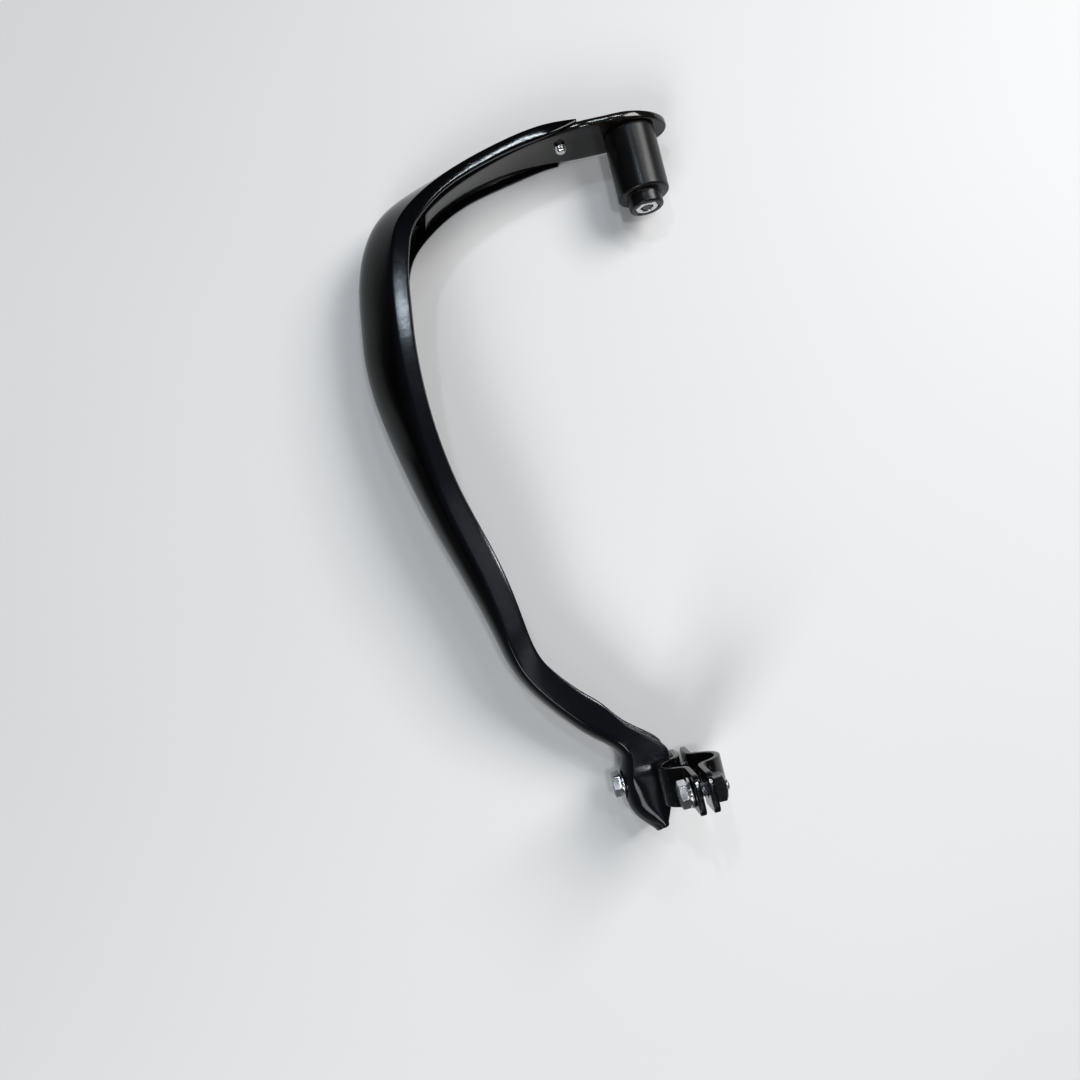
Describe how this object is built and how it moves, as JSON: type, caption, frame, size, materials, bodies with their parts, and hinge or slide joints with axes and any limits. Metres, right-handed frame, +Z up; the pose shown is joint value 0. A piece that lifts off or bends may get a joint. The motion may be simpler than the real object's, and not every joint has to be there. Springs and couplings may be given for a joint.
{
  "type": "motorcycle hand guard",
  "caption": "Glossy black curved motorcycle hand guard: channel-section shell with a bar-end tongue and spacer at one end and a strip clamp for a 22 mm handlebar at the other.",
  "frame": {"origin": "centre of the bottom of the object's box, on the surface that its lower edge rests on", "axes": "+Z up; +Y outboard along the grip axis, towards the tongue at the bar end; -X forward, the convex side of the guard"},
  "size_m": [0.1614, 0.322, 0.0705],
  "materials": {
    "shell_plastic": "glossy moulded black",
    "strap_plastic": "glossy black",
    "spacer_plastic": "satin black",
    "black_steel": "black coated",
    "bright_zinc": "bright zinc plated"
  },
  "bodies": {
    "root": {"shell": "shell_plastic", "end_strap": "strap_plastic", "strap_screw": "bright_zinc", "bar_end_spacer": "spacer_plastic", "bar_end_bolt": "black_steel", "bar_end_nut": "bright_zinc", "clamp_strip_plain": "black_steel", "clamp_strip_nut_side": "black_steel", "clamp_weld_nuts": "black_steel", "clamp_bolt_lower": "bright_zinc", "clamp_bolt_upper": "bright_zinc", "clamp_washers": "bright_zinc"}
  },
  "joints": []
}
